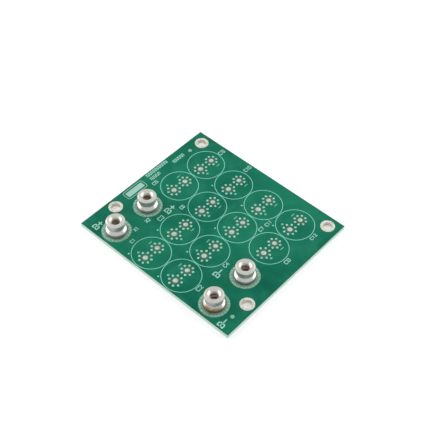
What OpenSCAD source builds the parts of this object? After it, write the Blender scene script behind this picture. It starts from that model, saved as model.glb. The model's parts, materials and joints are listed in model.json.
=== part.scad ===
// Evaluation board for twelve radial capacitors with four screw terminals.
// The board lies flat: +X runs along the lettering, +Y up the board, +Z out
// of the component side. The origin is the middle of the underside.

/* [Board] */
// Width of the board along the lettering
board_w = 80; // [76:1:110]
// Height of the board across the lettering
board_h = 90; // [88:1:120]
// Thickness of the laminate
board_t = 2; // [1.6:0.1:3.2]

/* [Plated metal] */
// Depth that a land is let into the laminate, on each side
land_depth = 0.1; // [0.05:0.01:0.2]
// Height that a land or a via stands above the component side
land_rise = 0.05; // [0.02:0.01:0.15]
// Wall of the plated barrel in a mounting hole
plating_t = 0.15; // [0.1:0.01:0.3]

/* [Capacitor places] */
// Outline diameter of one capacitor
cap_d = 18; // [15.5:0.5:18.5]
// Space between the outlines of neighbouring columns
cap_gap_x = 0.4; // [0.3:0.1:0.8]
// Space between the outlines of neighbouring rows
cap_gap_y = 0.5; // [0.3:0.1:0.8]
// Number of columns in the two middle rows
cap_columns = 4; // [3:1:4]
// Columns, counted from the right, that the two outer rows have
outer_columns = 2; // [1:1:2]
// Middle of the grid of places, left of the middle of the board
grid_left = 2.9; // [2:0.1:4]
// Distance that the outer rows are set to the right
outer_shift = 0.65; // [0:0.05:1]
// Distance between the two pads of a place
lead_pitch = 7.5; // [7:0.5:8.5]

/* [Capacitor pads] */
// Diameter of the round positive pad
plus_pad_d = 2.4; // [1.8:0.1:3]
// Diameter of the round negative pad
minus_pad_d = 2.2; // [1.8:0.1:3]
// Diameter of the plated barrel under a pad
barrel_d = 1.2; // [0.8:0.1:1.6]
// Height of the solder dome on a pad
dome_h = 0.2; // [0.1:0.05:0.5]
// Number of vias round a pad
via_count = 8; // [6:1:8]
// Diameter of a via
via_d = 1.1; // [0.6:0.1:1.2]
// Radius of the circle of vias round a positive pad
plus_via_r = 2.9; // [2.4:0.1:3]
// Radius of the circle of vias round a negative pad
minus_via_r = 2.7; // [2.4:0.1:3]

/* [Silkscreen ink] */
// Thickness of the ink
ink_t = 0.03; // [0.02:0.01:0.06]
// Width of an ink line
line_w = 0.28; // [0.15:0.01:0.4]
// Length of the two bars of a plus mark
plus_size = 1.3; // [1:0.1:1.6]
// Length of a minus mark
minus_size = 2; // [1.2:0.1:2.2]
// Space between a circle of vias and the polarity mark
mark_gap = 0.35; // [0.2:0.05:0.6]
// Diameter of the dot beside a capacitor outline
dot_d = 0.8; // [0.5:0.1:1]
// Space between a capacitor outline and its dot
dot_gap = 0.7; // [0.3:0.05:0.9]
// Width of the framed write-on field at the top
field_w = 12.4; // [8:0.2:13]
// Height of the framed write-on field
field_h = 5.2; // [4:0.2:6]

/* [Mounting holes] */
// Diameter of a mounting hole
mount_hole_d = 4.3; // [3.2:0.1:4.5]
// Outer diameter of the tinned land round a mounting hole
mount_land_d = 6.8; // [6:0.1:7.5]
// Middle of the two left holes, from the left edge
left_mount_x = 17.5; // [16:0.5:19]
// Middle of the two left holes, from the top or bottom edge
left_mount_y = 4.5; // [4.2:0.1:5]
// Middle of the two right holes, from the right edge
right_mount_x = 5.25; // [4.5:0.05:6]
// Middle of the two right holes, from the top or bottom edge
right_mount_y = 5.75; // [4.5:0.05:6]

/* [Power terminals] */
// Middle of the left terminals, from the left edge
terminal_x = 8; // [7.4:0.1:9]
// Middle of the terminals, from the top or bottom edge
terminal_y = 15; // [14:0.1:15]
// Distance between the two terminals of a pair
terminal_pitch = 20; // [18:0.1:20.5]
// Diameter of the foot that stands on the board
flange_d = 9.5; // [9:0.1:10]
// Height of the foot
flange_h = 2; // [1.5:0.1:2.5]
// Height above the board at which the flare meets the waist
shoulder_z = 3.6; // [3.2:0.1:4.5]
// Diameter of the waist
waist_d = 8.2; // [7.4:0.1:8.4]
// Diameter of the head that the cable lug rests on
head_d = 8.8; // [8.4:0.1:9.2]
// Height of the rim of the head, with its bevel
head_h = 1.3; // [1.1:0.1:1.6]
// Height of the whole terminal above the board
terminal_h = 7.4; // [6.8:0.1:9]
// Bevel round the top face
top_bevel = 0.6; // [0.2:0.05:0.9]
// Diameter of the bore that the thread is cut in
bore_d = 4.2; // [3.3:0.1:4.2]
// Depth of the bore from the top face
bore_depth = 5.8; // [4.5:0.1:6.2]
// Width of the countersink at the mouth of the bore
sink_w = 0.7; // [0.2:0.05:0.9]
// Depth of the countersink
sink_depth = 1; // [0.3:0.05:1.2]
// Diameter of the spigot that goes through the board
spigot_d = 5.4; // [4:0.1:6]
// Radial clearance of the spigot in the board
spigot_gap = 0.05; // [0.02:0.01:0.15]
// Width of the solder fillet round the foot
fillet_w = 0.85; // [0.5:0.05:1]
// Height of the solder fillet on the foot
fillet_h = 0.7; // [0.3:0.05:1]
// Width of the tinned land outside the fillet
terminal_land_w = 1.3; // [1:0.1:1.5]
// Number of vias in the land of a terminal
terminal_via_count = 24; // [16:1:30]
// Diameter of a via in the land of a terminal
terminal_via_d = 0.6; // [0.4:0.1:0.7]

/* [Fiducials] */
// Diameter of a fiducial mark
fiducial_d = 1.9; // [1:0.1:2.2]
// Upper fiducial, from the right edge
upper_fiducial_x = 12.9; // [11:0.1:14]
// Upper fiducial, from the top edge
upper_fiducial_y = 5; // [3:0.1:5]
// Lower fiducial, from the left edge
lower_fiducial_x = 8.4; // [3:0.1:9]
// Lower fiducial, from the bottom edge
lower_fiducial_y = 4.9; // [3:0.1:5]

/* [Hidden] */

round_fn = 72;
small_fn = 24;
eps = 0.01;

mask_green = [0.06, 0.42, 0.32];
tin = [0.78, 0.80, 0.76];
via_green = [0.51, 0.76, 0.65];
ink = [0.50, 0.78, 0.68];
polished = [0.74, 0.74, 0.71];
solder = [0.62, 0.64, 0.60];

// Places of the capacitors: two full rows in the middle, two short rows outside
cap_pitch_x = cap_d + cap_gap_x;
cap_pitch_y = cap_d + cap_gap_y;
function column_x(column) = -grid_left + (column - (cap_columns - 1) / 2) * cap_pitch_x;
middle_places = [
    for (column = [0 : cap_columns - 1]) for (side = [1, -1])
        [column_x(column), side * cap_pitch_y / 2]
];
outer_places = [
    for (column = [cap_columns - outer_columns : cap_columns - 1]) for (side = [1, -1])
        [column_x(column) + outer_shift, side * cap_pitch_y * 3 / 2]
];
places = concat(middle_places, outer_places);
// Side of each place that carries its polarity marks: 1 above, -1 below
mark_sides = [1, 1, -1, 1, -1, 1, -1, -1, 1, -1, -1, 1];
// Places that have a dot beside their outline
has_dot = [1, 1, 1, 1, 0, 1, 1, 1, 0, 0, 0, 1];

plus_x = -lead_pitch / 2;
minus_x = lead_pitch / 2;

left_x = -board_w / 2 + left_mount_x;
left_y = board_h / 2 - left_mount_y;
right_x = board_w / 2 - right_mount_x;
right_y = board_h / 2 - right_mount_y;
mounts = [[left_x, left_y], [right_x, right_y], [left_x, -left_y], [right_x, -right_y]];

term_x = -board_w / 2 + terminal_x;
term_y = board_h / 2 - terminal_y;
terminals = [
    [term_x, term_y], [term_x + terminal_pitch, term_y],
    [term_x, -term_y], [term_x + terminal_pitch, -term_y],
];

flange_r = flange_d / 2;
waist_r = waist_d / 2;
head_r = head_d / 2;
bore_r = bore_d / 2;
spigot_r = spigot_d / 2;
spigot_hole_r = spigot_r + spigot_gap;
fillet_r = flange_r + fillet_w;
terminal_land_r = fillet_r + terminal_land_w;
terminal_via_r = (fillet_r + terminal_land_r) / 2;
// Point of the drill below the straight wall of the blind bore
drill_point = bore_r * tan(31);

fiducial_places = [
    [board_w / 2 - upper_fiducial_x, board_h / 2 - upper_fiducial_y],
    [-board_w / 2 + lower_fiducial_x, -board_h / 2 + lower_fiducial_y],
];

field_x = (left_x + right_x) / 2 - field_w * 1.22;
field_y = board_h / 2 - 3.6;

// A ring or a disc that fills a land recess, from both faces of the board
module land_recess(outer_r) {
    for (z = [-eps, board_t - land_depth])
        translate([0, 0, z]) cylinder(h = land_depth + eps, r = outer_r, $fn = round_fn);
}

module through_hole(r, fn = round_fn) {
    translate([0, 0, -eps]) cylinder(h = board_t + 2 * eps, r = r, $fn = fn);
}

// The same children at every via of a circle round each place
module via_circle(radius, count, phase) {
    for (i = [0 : count - 1])
        rotate([0, 0, phase + i * 360 / count]) translate([radius, 0, 0]) children();
}

module at_places(x) {
    for (place = places) translate([place[0] + x, place[1], 0]) children();
}

module via_barrel(d) {
    cylinder(h = board_t + land_rise, d = d, $fn = small_fn);
}

module circuit_board() {
    color(mask_green) difference() {
        translate([-board_w / 2, -board_h / 2, 0]) cube([board_w, board_h, board_t]);
        at_places(plus_x) pad_hole(plus_pad_d, plus_via_r);
        at_places(minus_x) pad_hole(minus_pad_d, minus_via_r);
        for (place = mounts) translate(place) {
            land_recess(mount_land_d / 2);
            through_hole(mount_hole_d / 2 + plating_t);
        }
        for (place = terminals) translate(place) {
            through_hole(spigot_hole_r);
            difference() {
                land_recess(terminal_land_r);
                translate([0, 0, board_t / 2]) cylinder(h = board_t, r = fillet_r, $fn = round_fn);
            }
            via_circle(terminal_via_r, terminal_via_count, 0)
                through_hole(terminal_via_d / 2, small_fn);
        }
        for (place = fiducial_places)
            translate([place[0], place[1], board_t - land_depth])
                cylinder(h = land_depth + eps, d = fiducial_d, $fn = round_fn);
    }
}

// Everything that the board loses for one pad and its vias
module pad_hole(pad_d, via_r) {
    land_recess(pad_d / 2);
    through_hole(barrel_d / 2);
    via_circle(via_r, via_count, 180 / via_count) through_hole(via_d / 2, small_fn);
}

// Solder-filled plated pad: a land on each side, a barrel, and a low dome
module solder_pad(pad_d) {
    pad_r = pad_d / 2;
    dome_r = (pad_r * pad_r + dome_h * dome_h) / (2 * dome_h);
    dome_z = board_t + land_rise + dome_h - dome_r;
    dome_steps = 6;
    dome_half = asin(pad_r / dome_r);
    rotate_extrude($fn = round_fn) polygon(concat(
        [[0, 0], [pad_r, 0], [pad_r, land_depth], [barrel_d / 2, land_depth],
         [barrel_d / 2, board_t - land_depth], [pad_r, board_t - land_depth]],
        [for (i = [0 : dome_steps])
            let (a = dome_half * (1 - i / dome_steps)) [dome_r * sin(a), dome_z + dome_r * cos(a)]]
    ));
}

module capacitor_plus_pads() {
    color(tin) at_places(plus_x) solder_pad(plus_pad_d);
}

module capacitor_minus_pads() {
    color(tin) at_places(minus_x) solder_pad(minus_pad_d);
}

module capacitor_plus_vias() {
    color(via_green) at_places(plus_x)
        via_circle(plus_via_r, via_count, 180 / via_count) via_barrel(via_d);
}

module capacitor_minus_vias() {
    color(via_green) at_places(minus_x)
        via_circle(minus_via_r, via_count, 180 / via_count) via_barrel(via_d);
}

// Plated mounting hole: a land on each side joined by the barrel
module mounting_land(place) {
    hole_r = mount_hole_d / 2;
    barrel_r = hole_r + plating_t;
    land_r = mount_land_d / 2;
    color(tin) translate(place) rotate_extrude($fn = round_fn) polygon([
        [hole_r, 0], [land_r, 0], [land_r, land_depth], [barrel_r, land_depth],
        [barrel_r, board_t - land_depth], [land_r, board_t - land_depth],
        [land_r, board_t + land_rise], [hole_r, board_t + land_rise],
    ]);
}

// Turned terminal: spigot, foot, flare up to the waist, bevelled head and blind bore
module power_terminal(place) {
    flare_steps = 8;
    flare_power = 1.2;
    edge = 0.12;
    flare_r = flange_r - edge - waist_r;
    under_head = terminal_h - head_h;
    color(polished) translate(place) translate([0, 0, board_t])
        rotate_extrude($fn = round_fn) polygon(concat(
            [[0, -board_t], [spigot_r, -board_t], [spigot_r, 0],
             [flange_r, 0], [flange_r, flange_h - edge], [flange_r - edge, flange_h]],
            [for (i = [1 : flare_steps])
                let (rise = i / flare_steps)
                [waist_r + flare_r * pow(1 - rise, flare_power),
                 flange_h + (shoulder_z - flange_h) * rise]],
            [[waist_r, under_head - (head_r - waist_r)], [head_r, under_head],
             [head_r, terminal_h - top_bevel],
             [head_r - top_bevel, terminal_h], [bore_r + sink_w, terminal_h],
             [bore_r, terminal_h - sink_depth], [bore_r, terminal_h - bore_depth],
             [0, terminal_h - bore_depth - drill_point]]
        ));
}

// Two tinned lands: round the solder above, and from the spigot outwards below
module terminal_land(place) {
    color(tin) translate(place) difference() {
        rotate_extrude($fn = round_fn) {
            translate([fillet_r, board_t - land_depth])
                square([terminal_land_w, land_depth + land_rise]);
            translate([spigot_hole_r, 0])
                square([terminal_land_r - spigot_hole_r, land_depth]);
        }
        via_circle(terminal_via_r, terminal_via_count, 0)
            translate([0, 0, -eps])
                cylinder(h = board_t + land_rise + 2 * eps, d = terminal_via_d, $fn = small_fn);
    }
}

// Concave ring of solder from the flange down to the land
module solder_fillet(place) {
    arc_steps = 6;
    color(solder) translate(place) translate([0, 0, board_t]) rotate_extrude($fn = round_fn)
        polygon(concat(
            [[flange_r, 0], [fillet_r, 0]],
            [for (i = [0 : arc_steps])
                let (a = 90 * i / arc_steps)
                [fillet_r - fillet_w * sin(a),
                 land_rise + (fillet_h - land_rise) * (1 - cos(a))]]
        ));
}

module terminal_vias() {
    color(via_green) for (place = terminals) translate(place)
        via_circle(terminal_via_r, terminal_via_count, 0) via_barrel(terminal_via_d);
}

module fiducials() {
    color(tin) for (place = fiducial_places)
        translate([place[0], place[1], board_t - land_depth])
            cylinder(h = land_depth + land_rise, d = fiducial_d, $fn = round_fn);
}

// Ink of one closed outline or bar, lying on the component side
module printed() {
    color(ink) translate([0, 0, board_t]) linear_extrude(height = ink_t) children();
}

module capacitor_outlines() {
    at_places(0) printed() difference() {
        circle(d = cap_d + line_w, $fn = 96);
        circle(d = cap_d - line_w, $fn = 96);
    }
}

module polarity_marks() {
    for (i = [0 : len(places) - 1]) {
        plus_y = mark_sides[i] * (plus_via_r + via_d / 2 + mark_gap + plus_size / 2);
        printed() translate(places[i]) {
            translate([plus_x, plus_y]) {
                square([plus_size, line_w], center = true);
                square([line_w, plus_size], center = true);
            }
            translate([minus_x, plus_y]) square([minus_size, line_w], center = true);
        }
    }
}

module outline_dots() {
    dot_r = cap_d / 2 + dot_gap + dot_d / 2;
    for (i = [0 : len(places) - 1]) if (has_dot[i])
        printed() translate(places[i]) rotate(135) translate([dot_r, 0])
            circle(d = dot_d, $fn = small_fn);
}

// Framed field for a hand-written note, with a filled block inside the frame
module write_on_field() {
    corner = field_h / 4;
    printed() translate([field_x, field_y]) {
        difference() {
            rounded_field(field_w, field_h, corner);
            rounded_field(field_w - 2 * line_w, field_h - 2 * line_w, corner - line_w);
        }
        rounded_field(field_w - 8 * line_w, field_h - 8 * line_w, corner - 4 * line_w);
    }
}

module rounded_field(w, h, corner) {
    square([w - 2 * corner, h], center = true);
    square([w, h - 2 * corner], center = true);
    for (x = [-1, 1]) for (y = [-1, 1])
        translate([x * (w / 2 - corner), y * (h / 2 - corner)]) circle(r = corner, $fn = small_fn);
}

circuit_board();
capacitor_plus_pads();
capacitor_minus_pads();
capacitor_plus_vias();
capacitor_minus_vias();
mounting_land(mounts[0]);  // mounting_land_top_left
mounting_land(mounts[1]);  // mounting_land_top_right
mounting_land(mounts[2]);  // mounting_land_bottom_left
mounting_land(mounts[3]);  // mounting_land_bottom_right
power_terminal(terminals[0]);  // terminal_positive_left
power_terminal(terminals[1]);  // terminal_positive_right
power_terminal(terminals[2]);  // terminal_negative_left
power_terminal(terminals[3]);  // terminal_negative_right
terminal_land(terminals[0]);  // terminal_land_positive_left
terminal_land(terminals[1]);  // terminal_land_positive_right
terminal_land(terminals[2]);  // terminal_land_negative_left
terminal_land(terminals[3]);  // terminal_land_negative_right
solder_fillet(terminals[0]);  // solder_fillet_positive_left
solder_fillet(terminals[1]);  // solder_fillet_positive_right
solder_fillet(terminals[2]);  // solder_fillet_negative_left
solder_fillet(terminals[3]);  // solder_fillet_negative_right
terminal_vias();
fiducials();
capacitor_outlines();
polarity_marks();
outline_dots();
write_on_field();
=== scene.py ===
"""Looks of the evaluation board: materials, print, threads, light and camera.

The board's solids come packed, in metres, with the origin in the middle of the
underside, +X along the lettering, +Y up the board and +Z out of the component side.
Sizes below are in millimetres unless a name or a comment says otherwise.
"""

import json
import math

import bpy
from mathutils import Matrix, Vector


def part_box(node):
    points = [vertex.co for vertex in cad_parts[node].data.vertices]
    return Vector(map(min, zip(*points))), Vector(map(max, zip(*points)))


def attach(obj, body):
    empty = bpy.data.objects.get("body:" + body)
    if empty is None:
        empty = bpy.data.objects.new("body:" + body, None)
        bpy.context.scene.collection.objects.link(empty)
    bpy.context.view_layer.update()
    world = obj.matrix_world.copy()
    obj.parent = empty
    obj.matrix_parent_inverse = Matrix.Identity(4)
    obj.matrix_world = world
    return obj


MM = 0.001

# ---------------------------------------------------------------- the frame

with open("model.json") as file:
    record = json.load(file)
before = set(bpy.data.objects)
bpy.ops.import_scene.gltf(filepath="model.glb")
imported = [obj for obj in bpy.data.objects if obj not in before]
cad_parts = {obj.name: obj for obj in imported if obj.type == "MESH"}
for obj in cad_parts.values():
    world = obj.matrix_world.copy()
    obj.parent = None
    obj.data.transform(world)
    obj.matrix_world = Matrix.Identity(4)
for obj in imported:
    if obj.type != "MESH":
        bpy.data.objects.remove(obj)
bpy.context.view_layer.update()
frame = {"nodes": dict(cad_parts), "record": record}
NODES = frame["nodes"]
TERMINAL_NAMES = ("positive_left", "positive_right", "negative_left", "negative_right")


def box_mm(node):
    """Lowest and highest corner of a CAD node in millimetres."""
    low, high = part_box(node)
    return [v / MM for v in low], [v / MM for v in high]


def middle_mm(node):
    """Middle of a CAD node in the board's plane."""
    low, high = box_mm(node)
    return (low[0] + high[0]) / 2, (low[1] + high[1]) / 2


BOARD_TOP = box_mm("circuit_board")[1][2]
INK_TOP = box_mm("capacitor_outlines")[1][2]
TERMINAL_LOW, TERMINAL_HIGH = box_mm("terminal_positive_left")
TERMINAL_TOP = TERMINAL_HIGH[2]
FOOT_RADIUS = (TERMINAL_HIGH[0] - TERMINAL_LOW[0]) / 2
HEAD_RADIUS = 4.4
BORE_RADIUS = 2.1
BORE_DEPTH = 5.8
SINK_DEPTH = 1.0

# ---------------------------------------------------------------- colours


def linear(red, green, blue):
    """Linear colour of an sRGB colour given from 0 to 255."""
    def channel(value):
        value /= 255
        return value / 12.92 if value <= 0.04045 else ((value + 0.055) / 1.055) ** 2.4
    return (channel(red), channel(green), channel(blue), 1)


MASK_DARK = linear(12, 102, 78)
MASK_MID = linear(23, 117, 89)
MASK_LIGHT = linear(40, 130, 102)
EDGE_PALE = linear(222, 236, 226)
EDGE_DARK = linear(184, 212, 196)
HALO = linear(92, 112, 100)
INK_PALE = linear(164, 220, 204)
INK_PALE_WORN = linear(126, 196, 172)
INK_THIN = linear(152, 200, 184)
INK_THIN_WORN = linear(136, 188, 170)
INK_MINT = linear(138, 216, 196)
INK_MINT_WORN = linear(104, 188, 164)
TIN = linear(222, 222, 210)
TIN_DARK = linear(176, 172, 162)
PAD = linear(184, 208, 196)
PAD_DARK = linear(150, 168, 154)
FIDUCIAL = linear(130, 186, 164)
FIDUCIAL_DARK = linear(112, 166, 144)
VIA = linear(166, 210, 194)
VIA_DARK = linear(130, 182, 162)
LAND = linear(136, 178, 156)
LAND_DARK = linear(104, 140, 120)
BRIGHT = linear(196, 198, 189)
DULL = linear(196, 182, 176)
# Painted light: the tone the upright walls of the terminals take instead of the plating's own,
# tuned to how they catch light
LIT_WALL_TONE = linear(197, 194, 194)
SOLDER = linear(118, 146, 130)
SOLDER_DARK = linear(84, 108, 94)
SCORCH = linear(140, 110, 62)
# Colour of the painted shade where the solder meets the foot of each terminal
FOOT_SHADE = linear(36, 44, 36)
# Colour of the painted shade down the bores of the terminals
BORE_SHADE = linear(150, 122, 104)
WHITE = (1, 1, 1, 1)
PAPER = (0.8, 0.8, 0.8, 1)
SKY = (0.98, 0.99, 1, 1)

# ---------------------------------------------------------------- node helpers

LEVEL_EDGE = (0.4, 0.6)


class Nodes:
    """A node tree, built call by call."""

    def __init__(self, tree, output_kind):
        self.tree = tree
        self.tree.nodes.clear()
        self.output = self.add(output_kind)

    def add(self, kind, inputs=None, **settings):
        node = self.tree.nodes.new("ShaderNode" + kind)
        for key, value in settings.items():
            setattr(node, key, value)
        for key, value in (inputs or {}).items():
            self.feed(node.inputs[key], value)
        return node

    def feed(self, socket, value):
        """Links another node's output to a socket, or sets a plain value on it."""
        if isinstance(value, bpy.types.NodeSocket):
            self.tree.links.new(value, socket)
        else:
            socket.default_value = value

    def show(self, shader):
        self.feed(self.output.inputs[0], shader)

    def math(self, operation, *values):
        node = self.add("Math", operation=operation)
        for socket, value in zip(node.inputs, values):
            self.feed(socket, value)
        return node.outputs[0]

    def plus(self, first, second):
        return self.math("ADD", first, second)

    def minus(self, first, second):
        return self.math("SUBTRACT", first, second)

    def times(self, first, second):
        return self.math("MULTIPLY", first, second)

    def least(self, first, second):
        return self.math("MINIMUM", first, second)

    def most(self, first, second):
        return self.math("MAXIMUM", first, second)

    def distance(self, x, y):
        """Length of the way given by its two parts."""
        squares = self.plus(self.math("POWER", x, 2.0), self.math("POWER", y, 2.0))
        return self.math("SQRT", squares)

    def seen(self):
        """One where a ray shows what it meets, straight or mirrored, zero in plain light."""
        path = self.add("LightPath").outputs
        mirrored = self.most(path["Is Glossy Ray"], path["Is Transmission Ray"])
        return self.most(path["Is Camera Ray"], mirrored)

    def mix_shaders(self, share, first, second):
        return self.add("MixShader", {0: share, 1: first, 2: second}).outputs[0]


class Surface(Nodes):
    """A material whose numbers can change with the place on the object."""

    def __init__(self, name):
        self.material = bpy.data.materials.new(name)
        self.material.use_nodes = True
        super().__init__(self.material.node_tree, "OutputMaterial")
        self.place = self.add("TexCoord").outputs["Object"]

    def axes(self):
        """The three coordinates, in millimetres."""
        node = self.add("SeparateXYZ", {"Vector": self.place})
        return [self.math("DIVIDE", part, MM) for part in node.outputs]

    def stretched(self, x, y, z):
        """The place with each axis scaled by itself."""
        return self.add("Mapping", {"Vector": self.place, "Scale": (x, y, z)}).outputs[0]

    def noise(self, scale, detail=3.0, roughness=0.5, place=None, distortion=0.0):
        """Soft random patches, with the scale given per metre."""
        inputs = {"Vector": place or self.place, "Scale": scale, "Detail": detail,
                  "Roughness": roughness, "Distortion": distortion}
        return self.add("TexNoise", inputs).outputs[0]

    def rise(self, value, low, high):
        """Zero below low, one above high, smooth between them."""
        inputs = {"Value": value, "From Min": low, "From Max": high}
        return self.add("MapRange", inputs, interpolation_type="SMOOTHSTEP").outputs[0]

    def fall(self, value, low, high):
        """One below low, zero above high, smooth between them."""
        return self.minus(1.0, self.rise(value, low, high))

    def facing_up(self):
        """One on level faces, zero on upright ones."""
        normal = self.add("NewGeometry").outputs["True Normal"]
        normal_z = self.add("SeparateXYZ", {"Vector": normal}).outputs[2]
        return self.rise(self.math("ABSOLUTE", normal_z), *LEVEL_EDGE)

    def mix(self, share, first, second):
        """Colour between two colours."""
        node = self.add("Mix", {0: share, 6: first, 7: second}, data_type="RGBA")
        return node.outputs[2]

    def bump(self, height, strength, distance_mm):
        inputs = {"Height": height, "Strength": strength, "Distance": distance_mm * MM}
        return self.add("Bump", inputs).outputs[0]

    def finish(self, **sockets):
        """Principled surface with the given sockets, spaces in names as underscores."""
        inputs = {key.replace("_", " "): value for key, value in sockets.items()}
        self.show(self.add("BsdfPrincipled", inputs).outputs[0])
        return self.material


# ---------------------------------------------------------------- board and print

# The grid of capacitor places: its pitches, how far its middle lies to the left of the board's,
# and how far its outer rows are moved. The outer rows have no place left of the grid's middle.
CAP_PITCH_X = 18.4
CAP_PITCH_Y = 18.5
GRID_LEFT = 2.9
OUTER_SHIFT = 0.65
GRID_RIGHT_END = 2 * CAP_PITCH_X - GRID_LEFT
GRID_TOP_END = 2 * CAP_PITCH_Y
PAD_OFFSET = 3.75
HALO_EDGE = (2.1, 2.5)
HALO_SHARE = 0.5
CELLS_BEFORE = 20
MASK_ROUGH = 0.38
CUT_ROUGH = 0.75
WEAVE_TURN = 9.0
WEAVE_HEIGHT = 0.125


def wrapped(s, value, period):
    """Distance of a coordinate from the middle of its cell in a row of cells."""
    positive = s.plus(value, period * CELLS_BEFORE)
    return s.minus(s.math("MODULO", positive, period), period / 2)


def grid_has_place(s, x, off_middle, outer_row):
    """One where the grid has a capacitor place, zero where it has none."""
    in_row = s.most(s.minus(1.0, outer_row), s.math("GREATER_THAN", x, -GRID_LEFT))
    in_width = s.math("LESS_THAN", x, GRID_RIGHT_END)
    in_height = s.math("LESS_THAN", off_middle, GRID_TOP_END)
    return s.times(s.times(in_row, in_width), in_height)


def pad_halo(s, x, y):
    """One in the bare ring between each capacitor pad and its vias, zero elsewhere."""
    off_middle = s.math("ABSOLUTE", y)
    outer_row = s.math("GREATER_THAN", off_middle, CAP_PITCH_Y)
    column_x = s.minus(s.plus(x, GRID_LEFT), s.times(outer_row, OUTER_SHIFT))
    local_x = wrapped(s, column_x, CAP_PITCH_X)
    local_y = wrapped(s, y, CAP_PITCH_Y)
    from_pad = s.minus(s.math("ABSOLUTE", local_x), PAD_OFFSET)
    ring = s.fall(s.distance(from_pad, local_y), *HALO_EDGE)
    return s.times(ring, grid_has_place(s, x, off_middle, outer_row))


def solder_mask():
    """Green mask over laminate, with pale cut edges where the face stands upright."""
    s = Surface("solder_mask_green")
    x, y, _ = s.axes()
    broad = s.noise(34.0, detail=2.0, roughness=0.45)
    middle = s.noise(150.0, roughness=0.55, distortion=0.4)
    fine = s.noise(1900.0, detail=2.0)
    green = s.mix(s.rise(broad, 0.32, 0.68), MASK_DARK, MASK_MID)
    green = s.mix(s.times(s.rise(middle, 0.42, 0.75), 0.5), green, MASK_LIGHT)
    green = s.mix(s.times(s.rise(fine, 0.35, 0.7), 0.1), green, MASK_DARK)
    green = s.mix(s.times(pad_halo(s, x, y), HALO_SHARE), green, HALO)
    layers = s.noise(1.0, roughness=0.6, place=s.stretched(90.0, 90.0, 5200.0))
    cut = s.mix(s.rise(layers, 0.3, 0.7), EDGE_DARK, EDGE_PALE)
    flat = s.facing_up()
    rough = s.plus(s.times(flat, MASK_ROUGH - CUT_ROUGH), CUT_ROUGH)
    weave_x = s.math("SINE", s.times(x, WEAVE_TURN))
    weave_y = s.math("SINE", s.times(y, WEAVE_TURN))
    weave = s.times(s.plus(weave_x, weave_y), WEAVE_HEIGHT)
    normal = s.bump(s.plus(weave, s.noise(700.0, detail=2.0)), 0.12, 0.03)
    return s.finish(Base_Color=s.mix(flat, cut, green), Roughness=rough, Normal=normal,
                    Specular_IOR_Level=0.06)


def screen_ink(name, fresh, faded):
    """Thin pale ink that lets a little of the mask through where it is worn."""
    s = Surface(name)
    worn = s.rise(s.noise(2400.0, roughness=0.6), 0.48, 0.72)
    normal = s.bump(s.noise(5200.0, detail=2.0), 0.3, 0.01)
    return s.finish(Base_Color=s.mix(worn, fresh, faded), Roughness=0.55, Normal=normal)


# ---------------------------------------------------------------- metals

METAL_GRAIN = 900.0


def metal(name, bright, dark, roughness, metallic):
    """Plated metal whose tint, gloss and surface wander a little."""
    s = Surface(name)
    patch = s.noise(METAL_GRAIN, roughness=0.55, distortion=0.3)
    colour = s.mix(s.rise(patch, 0.35, 0.75), bright, dark)
    rough = s.plus(s.times(s.noise(METAL_GRAIN * 2.3), 0.16), roughness - 0.08)
    normal = s.bump(s.noise(METAL_GRAIN * 0.6, detail=2.0), 0.5, 0.02)
    return s.finish(Base_Color=colour, Metallic=metallic, Roughness=rough, Normal=normal)


def terminal_radius(s, x, y):
    """Distance from the axis of the terminal that the point belongs to."""
    first_x, first_y = middle_mm("terminal_positive_left")
    pitch = middle_mm("terminal_positive_right")[0] - first_x
    local_x = wrapped(s, s.plus(x, pitch / 2 - first_x), pitch)
    local_y = s.minus(s.math("ABSOLUTE", y), first_y)
    return s.distance(local_x, local_y)


# Where the finish of a terminal changes: radii from its axis, heights over the underside, and
# for the heat stain the way to the right of the axis
BORE_EDGE = (BORE_RADIUS + 0.05, BORE_RADIUS + 0.3)
WALL_EDGE = (BORE_RADIUS + 1.2, BORE_RADIUS + 1.4)
# Painted shade down the bore: the heights over which it deepens, and its strongest share
BORE_SHADE_Z = (TERMINAL_TOP - 3.2, TERMINAL_TOP - 1.4)
BORE_SHADE_SHARE = 0.85
SCORCH_Z = (BOARD_TOP + 2.0, BOARD_TOP + 3.8)
SCORCH_X = (-3.6, 0.8)
SCORCH_TILT = 0.25

# Relief that rounds the shading of a terminal: heights, and slopes as rise per millimetre
SWELL_Z = (BOARD_TOP + 1.5, BOARD_TOP + 3.9)
SWELL_HEIGHT = 0.75
RIM_START = HEAD_RADIUS - 0.6
RIM_SLOPE = 0.8
RIM_HEIGHT = 0.48
MOUTH_START = BORE_RADIUS + 0.7
MOUTH_SLOPE = 0.55
MOUTH_HEIGHT = 0.5
FUNNEL_Z = (TERMINAL_TOP - 3.4, TERMINAL_TOP - 1.0)
FUNNEL_HEIGHT = 1.3


def scorch_share(s, x, y, z, stain):
    """Share of the heat stain, low down on the left of the near left terminal."""
    middle_x, middle_y = middle_mm("terminal_negative_left")
    tilted = s.times(s.minus(y, middle_y), SCORCH_TILT)
    facing = s.fall(s.plus(s.minus(x, middle_x), tilted), *SCORCH_X)
    patch = s.plus(0.6, s.times(s.rise(stain, 0.35, 0.6), 0.4))
    return s.times(s.times(s.fall(z, *SCORCH_Z), facing), patch)


def terminal_relief(s, radius, z, inside):
    """Height that rounds the flare, the rim of the head, the mouth and the bore."""
    outside = s.rise(radius, *WALL_EDGE)
    swell = s.times(s.times(s.fall(z, *SWELL_Z), outside), SWELL_HEIGHT)
    rim = s.least(s.times(s.minus(radius, RIM_START), RIM_SLOPE), RIM_HEIGHT)
    mouth = s.least(s.times(s.minus(MOUTH_START, radius), MOUTH_SLOPE), MOUTH_HEIGHT)
    edges = s.most(s.most(rim, 0.0), mouth)
    funnel = s.times(s.times(s.fall(z, *FUNNEL_Z), inside), FUNNEL_HEIGHT)
    return s.plus(s.plus(swell, edges), funnel)


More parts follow.
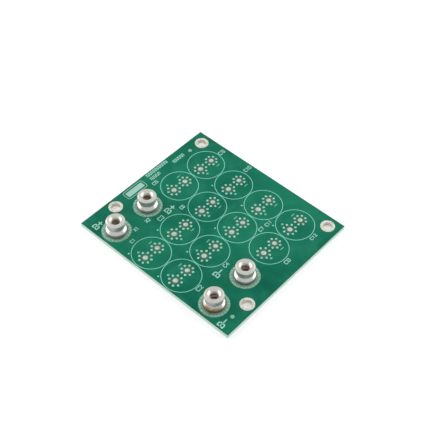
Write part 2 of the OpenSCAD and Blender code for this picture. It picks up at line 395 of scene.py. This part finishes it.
def turned_metal(name, scorched=False):
    """Bright tin plate over turned brass: soft stains, and painted shade darkening the bore with
    depth.
    """
    s = Surface(name)
    x, y, z = s.axes()
    radius = terminal_radius(s, x, y)
    inside = s.fall(radius, *BORE_EDGE)
    upright = s.minus(1.0, s.facing_up())
    stain = s.noise(420.0, roughness=0.55, distortion=0.6)
    colour = s.mix(s.rise(stain, 0.45, 0.8), BRIGHT, DULL)
    # Painted light: upright walls get their own copy of the plating colour, tuned to how they
    # catch light, without the stains
    colour = s.mix(upright, colour, LIT_WALL_TONE)
    # Painted shade: the bore darkens with depth below its mouth, standing in for its shadowed
    # walls
    bore_shade = s.times(inside, s.fall(z, *BORE_SHADE_Z))
    colour = s.mix(s.times(bore_shade, BORE_SHADE_SHARE), colour, BORE_SHADE)
    if scorched:
        colour = s.mix(scorch_share(s, x, y, z, stain), colour, SCORCH)
    rough = s.plus(s.times(stain, 0.12), 0.26)
    tangent = s.add("Tangent", direction_type="RADIAL", axis="Z").outputs[0]
    normal = s.bump(terminal_relief(s, radius, z, inside), 1.0, 1.0)
    return s.finish(Base_Color=colour, Metallic=0.9, Roughness=rough, Tangent=tangent,
                    Anisotropic=s.times(upright, 0.88), Anisotropic_Rotation=0.25, Normal=normal)


# Painted shade at the foot of each terminal: the radii over which it fades, and its strongest
# share
FOOT_SHADE_EDGE = (FOOT_RADIUS + 0.15, FOOT_RADIUS + 0.6)
FOOT_SHADE_SHARE = 0.8


def solder_metal():
    """Dull solder, with painted shade in the crease against the foot of the terminal."""
    s = Surface("solder_metal")
    x, y, _ = s.axes()
    patch = s.noise(500.0, roughness=0.55, distortion=0.3)
    colour = s.mix(s.rise(patch, 0.35, 0.75), SOLDER, SOLDER_DARK)
    foot_shade = s.fall(terminal_radius(s, x, y), *FOOT_SHADE_EDGE)
    # Painted shade: the solder darkens toward the foot of the terminal
    colour = s.mix(s.times(foot_shade, FOOT_SHADE_SHARE), colour, FOOT_SHADE)
    normal = s.bump(s.noise(300.0, detail=2.0), 0.5, 0.02)
    return s.finish(Base_Color=colour, Metallic=0.3, Roughness=0.42, Normal=normal)


# ---------------------------------------------------------------- materials on the solids

TERMINAL_MATERIAL = turned_metal("bright_tin_plate")
PAD_MATERIAL = metal("pad_solder_metal", PAD, PAD_DARK, 0.42, 0.5)
LABEL_INK = screen_ink("label_ink_pale", INK_PALE, INK_PALE_WORN)

SLOT_MATERIALS = {
    "solder_mask": solder_mask(),
    "tinned_land": metal("tinned_land_metal", TIN, TIN_DARK, 0.4, 0.6),
    "filled_via": metal("filled_via_finish", VIA, VIA_DARK, 0.5, 0.3),
    "terminal_land": metal("terminal_land_metal", LAND, LAND_DARK, 0.45, 0.4),
    "terminal_metal": TERMINAL_MATERIAL,
    "solder": solder_metal(),
    "silkscreen_ink": screen_ink("outline_ink_mint", INK_MINT, INK_MINT_WORN),
}

NODE_MATERIALS = {
    "terminal_negative_left": turned_metal("bright_tin_plate_scorched", scorched=True),
    "capacitor_plus_pads": PAD_MATERIAL,
    "capacitor_minus_pads": PAD_MATERIAL,
    "fiducials": metal("fiducial_finish", FIDUCIAL, FIDUCIAL_DARK, 0.5, 0.3),
    "write_on_field": screen_ink("field_ink_thin", INK_THIN, INK_THIN_WORN),
}

for part in frame["record"]["subparts"]:
    finish = NODE_MATERIALS.get(part["node"], SLOT_MATERIALS[part["material_slot"]])
    for material_slot in NODES[part["node"]].material_slots:
        material_slot.material = finish

# ---------------------------------------------------------------- mesh pieces


def add_piece(name, vertices_mm, faces, material):
    """A closed mesh in millimetres that rides on the board."""
    mesh = bpy.data.meshes.new(name)
    mesh.from_pydata([[c * MM for c in v] for v in vertices_mm], [], faces)
    mesh.materials.append(material)
    piece = bpy.data.objects.new(name, mesh)
    bpy.context.scene.collection.objects.link(piece)
    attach(piece, "root")


def bar_faces(rings):
    """Faces of a closed bar whose vertices come as rings of four."""
    faces = []
    for k in range(rings - 1):
        a, b = 4 * k, 4 * (k + 1)
        for j in range(4):
            n = (j + 1) % 4
            faces.append((a + n, b + n, b + j, a + j))
    end = 4 * (rings - 1)
    return faces + [(3, 2, 1, 0), (end, end + 1, end + 2, end + 3)]


# Each sign is a list of strokes on a grid four wide and six high
GRID_W = 4
GRID_H = 6
STROKES = {
    "B": [[(0, 3), (0, 6), (3, 6), (4, 5), (4, 4), (3, 3), (0, 3),
           (0, 0), (3, 0), (4, 1), (4, 2), (3, 3)]],
    "C": [[(4, 5), (3, 6), (1, 6), (0, 5), (0, 1), (1, 0), (3, 0), (4, 1)]],
    "X": [[(0, 0), (4, 6)], [(0, 6), (4, 0)]],
    "+": [[(0, 3), (4, 3)], [(2, 1), (2, 5)]],
    "-": [[(0, 3), (4, 3)]],
    "0": [[(4, 5), (3, 6), (1, 6), (0, 5), (0, 1), (1, 0), (3, 0), (4, 1), (4, 5)]],
    "1": [[(0.8, 4.8), (2, 6), (2, 0)]],
    "2": [[(0, 5), (1, 6), (3, 6), (4, 5), (4, 4), (0, 0), (4, 0)]],
    "3": [[(0, 5), (1, 6), (3, 6), (4, 5), (4, 4), (3, 3),
           (4, 2), (4, 1), (3, 0), (1, 0), (0, 1)]],
    "4": [[(3, 0), (3, 6), (0, 2), (4, 2)]],
    "5": [[(4, 6), (0, 6), (0, 3.4), (3, 3.4), (4, 2.4), (4, 1), (3, 0), (1, 0), (0, 1)]],
    "6": [[(4, 5), (3, 6), (1, 6), (0, 5), (0, 1), (1, 0), (3, 0),
           (4, 1), (4, 2.4), (3, 3.4), (0, 3.4)]],
    "7": [[(0, 6), (4, 6), (1.4, 0)]],
    "8": [[(1, 3), (0, 4), (0, 5), (1, 6), (3, 6), (4, 5), (4, 4), (3, 3), (1, 3),
           (0, 2), (0, 1), (1, 0), (3, 0), (4, 1), (4, 2), (3, 3)]],
    "9": [[(0, 1), (1, 0), (3, 0), (4, 1), (4, 5), (3, 6), (1, 6),
           (0, 5), (0, 3.6), (1, 2.6), (4, 2.6)]],
}
SMALL_LINE = 0.31
LARGE_LINE = 0.52
SIGN_SPACE = 0.35
ROUND_STEPS = 4
SHARPEST_TURN = 0.55
LAYER_STEP = 0.001
LAYERS = 3


def unit_way(start, end):
    """Direction from one point to the next."""
    length = math.dist(start, end)
    return (end[0] - start[0]) / length, (end[1] - start[1]) / length


def ribbon(points, width, top):
    """Closed flat strip along a path, with round ends, lying on the mask."""
    ways = [unit_way(start, end) for start, end in zip(points, points[1:])]
    last = len(points) - 1
    rings = []
    for i, (x, y) in enumerate(points):
        near = ways[max(i - 1, 0):i + 1]
        dx = sum(way[0] for way in near) / len(near)
        dy = sum(way[1] for way in near) / len(near)
        mean = math.hypot(dx, dy)
        side = (-dy / mean, dx / mean)
        half = width / 2 / max(mean, SHARPEST_TURN)
        if 0 < i < last:
            rings.append((x, y, side, half))
            continue
        sign = 1 if i else -1
        for k in range(ROUND_STEPS)[::sign]:
            angle = math.radians(90 * k / ROUND_STEPS)
            reach = sign * half * math.sin(angle)
            rings.append((x + dx * reach, y + dy * reach, side, half * math.cos(angle)))
    vertices = []
    for x, y, side, half in rings:
        for sign, z in ((1, top), (-1, top), (-1, BOARD_TOP), (1, BOARD_TOP)):
            vertices.append((x + sign * side[0] * half, y + sign * side[1] * half, z))
    return vertices, bar_faces(len(rings))


def printed(name, paths, width):
    """One piece of ink made of ribbons, each a hair above the last where they cross."""
    vertices, faces = [], []
    for level, path in enumerate(paths):
        own_vertices, own_faces = ribbon(path, width, INK_TOP + LAYER_STEP * (level % LAYERS))
        faces += [tuple(len(vertices) + i for i in face) for face in own_faces]
        vertices += own_vertices
    add_piece(name, vertices, faces, LABEL_INK)


def label(name, text, left, bottom, right, top, width):
    """Signs of the stroke alphabet fitted between the given edges."""
    low_x, high_x = left + width / 2, right - width / 2
    low_y, high_y = bottom + width / 2, top - width / 2
    cell = (high_x - low_x) / (len(text) + SIGN_SPACE * (len(text) - 1))
    paths = []
    for i, sign in enumerate(text):
        start = low_x + i * cell * (1 + SIGN_SPACE)
        for stroke in STROKES[sign]:
            paths.append([(start + px / GRID_W * cell, low_y + py / GRID_H * (high_y - low_y))
                          for px, py in stroke])
    printed(name, paths, width)


# Name, text, left, bottom, right and top edge of each printed label, and its width of line
LABELS = [
    ("label_battery_plus_left", "B+", -38.1, 36.8, -32.9, 40.1, LARGE_LINE),
    ("label_battery_plus_middle", "B+", -9.2, 19.3, -3.6, 22.6, LARGE_LINE),
    ("label_battery_minus_middle", "B-", -21.05, -22.0, -16.05, -18.6, LARGE_LINE),
    ("label_battery_minus_low", "B-", -39.0, -41.0, -34.1, -37.6, LARGE_LINE),
    ("label_terminal_1", "X1", -26.8, 23.0, -24.2, 25.0, SMALL_LINE),
    ("label_terminal_2", "X2", -19.6, 22.8, -17.0, 24.8, SMALL_LINE),
    ("label_place_1", "C1", -32.7, 19.4, -30.0, 21.2, SMALL_LINE),
    ("label_place_2", "C2", -31.9, -20.8, -28.5, -18.6, SMALL_LINE),
    ("label_place_3", "C3", -14.9, 19.1, -11.7, 21.4, SMALL_LINE),
    ("label_place_4", "C4", -14.5, -20.8, -11.5, -18.7, SMALL_LINE),
    ("label_place_5", "C5", -1.0, 36.6, 2.1, 38.6, SMALL_LINE),
    ("label_place_6", "C6", -3.1, 16.6, -0.6, 18.6, SMALL_LINE),
    ("label_place_7", "C7", 11.5, -19.0, 14.3, -17.0, SMALL_LINE),
    ("label_place_8", "C8", 5.1, -39.5, 8.4, -37.45, SMALL_LINE),
    ("label_place_9", "C9", 34.8, 26.6, 38.4, 28.85, SMALL_LINE),
    ("label_place_10", "C10", 34.8, 10.2, 39.0, 12.3, SMALL_LINE),
    ("label_place_11", "C11", 15.7, -19.2, 19.6, -17.2, SMALL_LINE),
    ("label_place_12", "C12", 23.4, -39.3, 27.5, -37.5, SMALL_LINE),
]

for label_values in LABELS:
    label(*label_values)

# Name, left edge, right edge and middle height of each plain bar that stands for a title line
TITLE_BARS = [
    ("title_bar_top", 0.8, 14.1, 43.45),
    ("title_bar_left", 0.8, 6.5, 40.6),
    ("title_bar_right", 16.2, 23.0, 40.6),
]
BAR_SPACE = 0.72
BAR_H = 1.5


def title_bar(name, left, right, middle_y):
    """Plain square wave that fills a line of print without any sign."""
    count = int((right - left) / BAR_SPACE)
    step = (right - left) / count
    path = []
    for i in range(count + 1):
        ends = [middle_y - BAR_H / 2, middle_y + BAR_H / 2]
        if i % 2:
            ends.reverse()
        path += [(left + i * step, y) for y in ends]
    printed(name, [path], SMALL_LINE)


for bar_values in TITLE_BARS:
    title_bar(*bar_values)

# ---------------------------------------------------------------- threads

THREAD_PITCH = 0.8
THREAD_DEPTH = 0.22
THREAD_STEPS = 32
THREAD_BITE = 0.02
RUN_OUT_STEPS = 8
LEAST_RIDGE = 0.05
FLANK = 0.36 * THREAD_PITCH
CREST = 0.05 * THREAD_PITCH


def thread(name, centre, top):
    """Helical ridge on the wall of a terminal's bore, running out at both ends."""
    turns = int((BORE_DEPTH - SINK_DEPTH - THREAD_PITCH) / THREAD_PITCH)
    start_z = top - SINK_DEPTH - THREAD_PITCH / 2
    count = turns * THREAD_STEPS
    wall = BORE_RADIUS + THREAD_BITE
    vertices = []
    for i in range(count + 1):
        angle = 2 * math.pi * i / THREAD_STEPS
        z = start_z - THREAD_PITCH * i / THREAD_STEPS
        ridge = min(1, i / RUN_OUT_STEPS, (count - i) / RUN_OUT_STEPS)
        crest = BORE_RADIUS - THREAD_DEPTH * max(ridge, LEAST_RIDGE)
        for radius, dz in ((wall, FLANK), (wall, -FLANK), (crest, -CREST), (crest, CREST)):
            vertices.append((centre[0] + radius * math.cos(angle),
                             centre[1] + radius * math.sin(angle), z + dz))
    add_piece(name, vertices, bar_faces(count + 1), TERMINAL_MATERIAL)


for terminal in TERMINAL_NAMES:
    thread("thread_" + terminal, middle_mm("terminal_" + terminal), TERMINAL_TOP)

# ---------------------------------------------------------------- stage, light and camera

FLOOR_DROP = 0.02
FLOOR_SIDE_M = 0.8
FLOOR_GLOW = 0.28
WORLD_STRENGTH = 0.67


def floor_material():
    """White to the camera, with the object's shadow kept on it."""
    s = Surface("floor_white")
    paper = s.add("BsdfDiffuse", {"Color": PAPER}).outputs[0]
    glow = s.add("Emission", {"Color": WHITE, "Strength": FLOOR_GLOW}).outputs[0]
    lifted = s.add("AddShader", {0: paper, 1: glow}).outputs[0]
    s.show(s.mix_shaders(s.seen(), paper, lifted))
    return s.material


def make_floor():
    half = FLOOR_SIDE_M / 2
    z = -FLOOR_DROP * MM
    corners = [(-half, -half, z), (half, -half, z), (half, half, z), (-half, half, z)]
    mesh = bpy.data.meshes.new("floor")
    mesh.from_pydata(corners, [], [(0, 1, 2, 3)])
    mesh.materials.append(floor_material())
    floor = bpy.data.objects.new("floor", mesh)
    bpy.context.scene.collection.objects.link(floor)


def make_world():
    """Soft surroundings: pure white where seen, plainer light elsewhere."""
    world = bpy.data.worlds.new("studio")
    bpy.context.scene.world = world
    world.use_nodes = True
    nodes = Nodes(world.node_tree, "OutputWorld")
    soft = nodes.add("Background", {"Color": SKY, "Strength": WORLD_STRENGTH}).outputs[0]
    white = nodes.add("Background", {"Color": WHITE}).outputs[0]
    nodes.show(nodes.mix_shaders(nodes.seen(), soft, white))


# Name, place in metres, side in metres and power in watts
LAMPS = [
    ("lamp_left", (-0.29, 0.69, 0.25), 0.8, 5.0),
    ("lamp_right", (0.66, -0.35, 0.25), 0.8, 4.6),
]


def make_lamps():
    """Square lamps that face the middle of the board."""
    for name, place, side, power in LAMPS:
        data = bpy.data.lights.new(name, "AREA")
        data.size = side
        data.energy = power
        lamp = bpy.data.objects.new(name, data)
        bpy.context.scene.collection.objects.link(lamp)
        lamp.location = place
        lamp.rotation_euler = (-Vector(place)).to_track_quat("-Z", "Y").to_euler()


# Place in millimetres, turn in degrees, lens and sensor in millimetres
CAMERA_PLACE = (-199.6, -182.6, 330.4)
CAMERA_TURN = (39.648, -0.433, -47.903)
CAMERA_LENS = 75.5
CAMERA_SENSOR = 36
NEAREST_M = 0.01
FARTHEST_M = 20


def make_camera():
    data = bpy.data.cameras.new("camera")
    data.lens = CAMERA_LENS
    data.sensor_width = CAMERA_SENSOR
    data.clip_start = NEAREST_M
    data.clip_end = FARTHEST_M
    camera = bpy.data.objects.new("camera", data)
    bpy.context.scene.collection.objects.link(camera)
    camera.location = [c * MM for c in CAMERA_PLACE]
    camera.rotation_euler = [math.radians(a) for a in CAMERA_TURN]
    bpy.context.scene.camera = camera


make_floor()
make_world()
make_lamps()
make_camera()
bpy.context.scene.view_settings.view_transform = "Standard"
